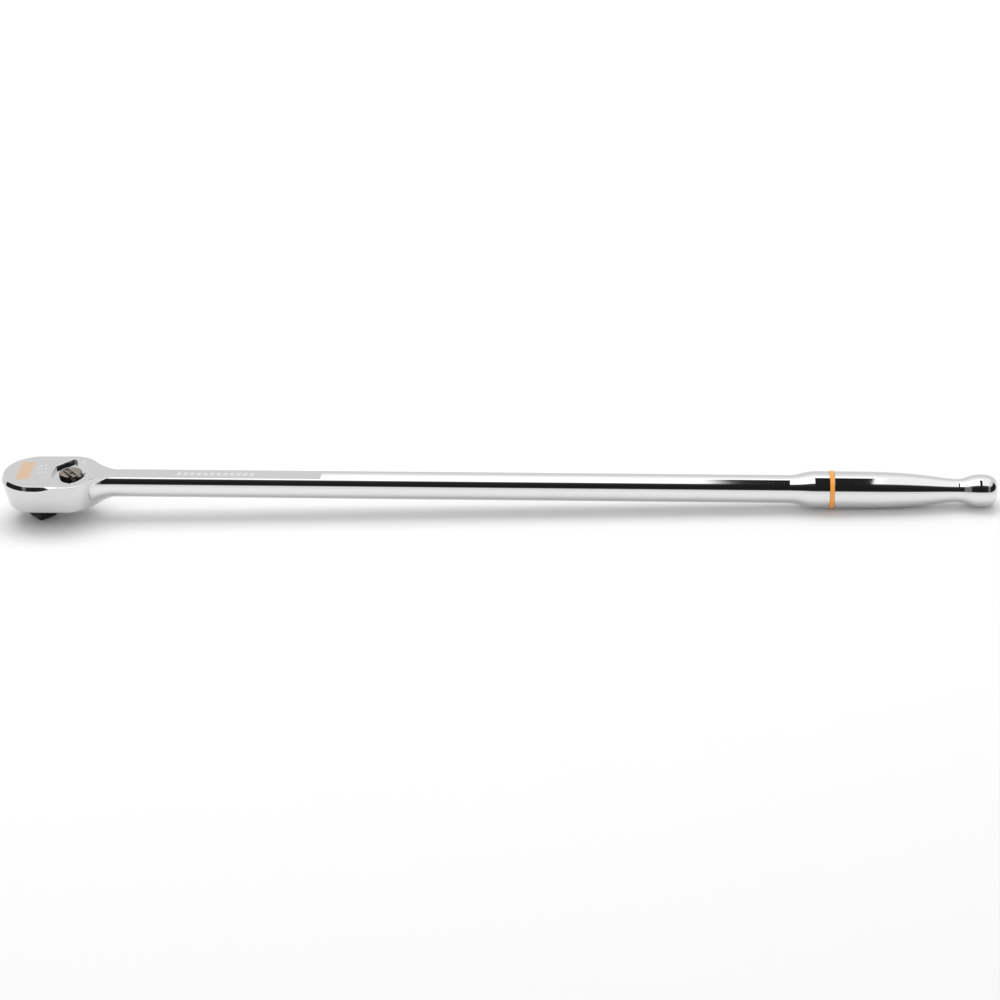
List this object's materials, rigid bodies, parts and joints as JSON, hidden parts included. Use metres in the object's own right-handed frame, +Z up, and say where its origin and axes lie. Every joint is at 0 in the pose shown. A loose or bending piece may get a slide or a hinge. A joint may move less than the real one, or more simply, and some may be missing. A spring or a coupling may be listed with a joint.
{
  "type": "ratchet wrench",
  "caption": "Long-handle reversible ratchet wrench with a teardrop head, a reversing lever, a turning square drive and a shaped grip with an orange band.",
  "frame": {"origin": "centre of the end face of the square drive", "axes": "+X along the handle, +Z up through the head, away from the square drive; the drive turns about Z"},
  "size_m": [0.6121, 0.0454, 0.0347],
  "materials": {
    "chrome_body": "full polish",
    "orange_band": "satin",
    "black_steel": "black phosphate",
    "screw_steel": "black oxide",
    "seal_rubber": "matt",
    "washer_bronze": "satin",
    "spring_steel": "bright drawn",
    "ground_steel": "ground",
    "tool_steel": "hardened, machined",
    "cast_lever": "satin nickel on a casting"
  },
  "bodies": {
    "body": {"wrench_body": "chrome_body", "grip_ring": "orange_band", "cover_plate": "black_steel", "cover_screw_1": "screw_steel", "cover_screw_2": "screw_steel", "cover_screw_3": "screw_steel", "gear_seal": "seal_rubber", "thrust_washer": "washer_bronze", "wave_washer": "spring_steel"},
    "drive": {"drive_gear": "black_steel", "detent_spring": "spring_steel"},
    "ball": {"detent_ball": "ground_steel"},
    "lever": {"reversing_lever": "cast_lever", "lever_seal": "seal_rubber", "lever_clip": "spring_steel", "upper_plunger_spring": "spring_steel", "lower_plunger_spring": "spring_steel"},
    "upper_pin": {"upper_plunger": "ground_steel"},
    "lower_pin": {"lower_plunger": "ground_steel"},
    "pawl_above": {"upper_pawl": "tool_steel"},
    "pawl_below": {"lower_pawl": "tool_steel"}
  },
  "joints": [
    {"name": "drive_spin", "type": "hinge", "parent": "body", "child": "drive", "pos_m": [0, 0, 0.012], "axis": [0, 0, 1], "continuous": true},
    {"name": "ball_press", "type": "slide", "parent": "drive", "child": "ball", "axis": [0.7071, -0.7071, 0], "range_m": [0, 0.001], "stiffness_N_per_m": 1500, "springref_m": -0.0005, "deforming": ["detent_spring"]},
    {"name": "lever_turn", "type": "hinge", "parent": "body", "child": "lever", "pos_m": [0.0195, 0, 0.028], "axis": [0, 0, 1], "range_deg": [0, 100]},
    {"name": "upper_pin_press", "type": "slide", "parent": "lever", "child": "upper_pin", "axis": [0.6428, -0.766, 0], "range_m": [0, 0.0008], "stiffness_N_per_m": 800, "springref_m": -0.0004, "deforming": ["upper_plunger_spring"]},
    {"name": "lower_pin_press", "type": "slide", "parent": "lever", "child": "lower_pin", "axis": [0.6428, -0.766, 0], "range_m": [0, 0.0008], "stiffness_N_per_m": 800, "springref_m": -0.0004, "deforming": ["lower_plunger_spring"]},
    {"name": "upper_pawl_rock", "type": "hinge", "parent": "body", "child": "pawl_above", "pos_m": [0.015, 0, 0.0218], "axis": [0, 0, 1], "range_deg": [-10, 0]},
    {"name": "lower_pawl_rock", "type": "hinge", "parent": "body", "child": "pawl_below", "pos_m": [0.015, 0, 0.0164], "axis": [0, 0, 1], "range_deg": [-2, 0]}
  ],
  "couplings": [
    {"joint": "upper_pawl_rock", "follows": "lever_turn", "ratio": -0.1},
    {"joint": "lower_pawl_rock", "follows": "lever_turn", "ratio": -0.02}
  ]
}
